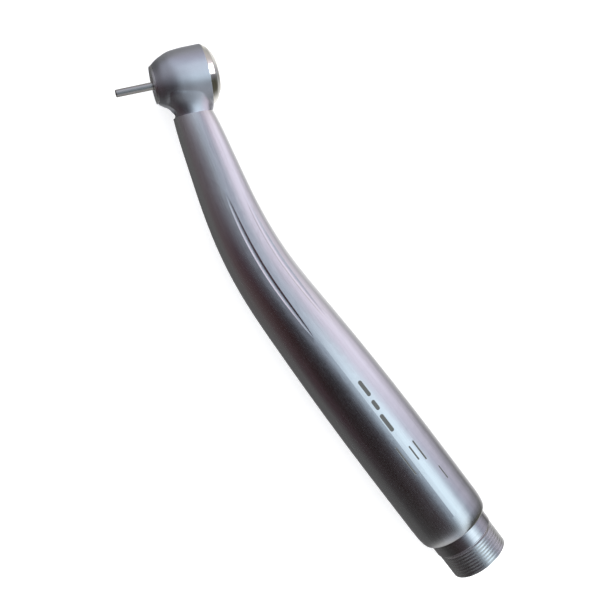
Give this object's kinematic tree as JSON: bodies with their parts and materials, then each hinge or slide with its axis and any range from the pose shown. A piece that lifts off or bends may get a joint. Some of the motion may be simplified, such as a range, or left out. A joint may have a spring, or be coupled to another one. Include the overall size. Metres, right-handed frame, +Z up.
{
  "type": "dental turbine handpiece",
  "caption": "Bent high speed dental handpiece with push button chuck, spray face, lamp, air turbine, lamp generator and threaded hose end",
  "frame": {"origin": "centre of the rear end plane of the hose thread, on the coupling axis", "axes": "+X along the coupling axis from the head toward the hose; +Y toward the push button side; +Z up when the handpiece lies flat on its side"},
  "size_m": [0.1281, 0.0276, 0.0168],
  "materials": {
    "satin_steel_head": "bead blasted satin",
    "turned_steel": "fine turned",
    "polished_chrome": "polished",
    "spring_steel": "drawn wire",
    "ground_steel": "ground",
    "anodised_aluminium": "machined",
    "bur_steel": "ground bright",
    "lamp_body": "matt",
    "lamp_phosphor": "matt",
    "lamp_glass": "clear",
    "lead_insulation": "smooth",
    "satin_steel_body": "satin brushed lengthwise",
    "seal_rubber": "matt",
    "tube_steel": "drawn tube",
    "polished_steel": "polished",
    "machined_steel": "machined",
    "core_steel": "laminated",
    "enamelled_copper": "enamelled wire",
    "nickel_plating": "plated",
    "white_plastic": "moulded",
    "bronze": "sintered",
    "board_laminate": "solder mask",
    "white_ceramic": "polished ceramic",
    "cage_plastic": "moulded"
  },
  "bodies": {
    "handpiece": {"head_housing": "satin_steel_head", "spray_face_plate": "turned_steel", "cap_ring": "polished_chrome", "button_spring": "spring_steel", "preload_washer": "spring_steel", "lamp_holder": "lamp_body", "lamp_emitter": "lamp_phosphor", "lamp_lens": "lamp_glass", "lamp_leads": "lead_insulation", "handle_shell": "satin_steel_body", "neck_seal": "seal_rubber", "drive_air_tube": "tube_steel", "water_tube": "tube_steel", "chip_air_tube": "tube_steel", "drive_inlet_tube": "tube_steel", "drive_stub": "tube_steel", "water_stub": "tube_steel", "chip_air_stub": "tube_steel", "end_ring": "polished_steel", "shell_seal": "seal_rubber", "coupling_body": "machined_steel", "generator_housing": "anodised_aluminium", "generator_cover": "anodised_aluminium", "stator_core": "core_steel", "stator_coils": "enamelled_copper", "generator_front_bush": "bronze", "generator_rear_bush": "bronze", "circuit_board": "board_laminate", "front_outer_race": "ground_steel", "front_o_ring": "seal_rubber", "rear_outer_race": "ground_steel", "rear_o_ring": "seal_rubber"},
    "turbine_rotor": {"turbine_spindle": "ground_steel", "impeller": "anodised_aluminium", "front_inner_race": "ground_steel", "rear_inner_race": "ground_steel", "chuck_collet": "ground_steel", "chuck_spring": "spring_steel"},
    "front_ball_set": {"front_balls": "white_ceramic", "front_cage": "cage_plastic"},
    "rear_ball_set": {"rear_balls": "white_ceramic", "rear_cage": "cage_plastic"},
    "button": {"push_button": "polished_chrome"},
    "pusher": {"chuck_pusher": "ground_steel"},
    "bur": {"test_bur": "bur_steel"},
    "generator_rotor": {"generator_shaft": "ground_steel", "magnet_rotor": "nickel_plating", "generator_impeller": "white_plastic"}
  },
  "joints": [
    {"name": "turbine_spin", "type": "hinge", "parent": "handpiece", "child": "turbine_rotor", "pos_m": [-0.12412, 0.00546, 0], "axis": [0.4056, 0.914, 0], "continuous": true},
    {"name": "front_balls_roll", "type": "hinge", "parent": "handpiece", "child": "front_ball_set", "pos_m": [-0.12303, 0.00792, 0], "axis": [0.4056, 0.914, 0], "continuous": true},
    {"name": "rear_balls_roll", "type": "hinge", "parent": "handpiece", "child": "rear_ball_set", "pos_m": [-0.12035, 0.01395, 0], "axis": [0.4056, 0.914, 0], "continuous": true},
    {"name": "button_press", "type": "slide", "parent": "handpiece", "child": "button", "axis": [-0.4056, -0.914, 0], "range_m": [0, 0.00065], "stiffness_N_per_m": 2000, "springref_m": -0.0015, "deforming": ["button_spring"]},
    {"name": "pusher_slide", "type": "slide", "parent": "turbine_rotor", "child": "pusher", "axis": [-0.4056, -0.914, 0], "range_m": [0, 0.00051], "deforming": ["chuck_spring"]},
    {"name": "bur_withdraw", "type": "slide", "parent": "turbine_rotor", "child": "bur", "axis": [-0.4056, -0.914, 0], "range_m": [0, 0.009]},
    {"name": "generator_spin", "type": "hinge", "parent": "handpiece", "child": "generator_rotor", "pos_m": [-0.035, 0, 0], "axis": [1, 0, 0], "continuous": true}
  ],
  "couplings": [
    {"joint": "front_balls_roll", "follows": "turbine_spin", "ratio": 0.395},
    {"joint": "rear_balls_roll", "follows": "turbine_spin", "ratio": 0.395},
    {"joint": "pusher_slide", "follows": "button_press", "ratio": 0.78}
  ]
}
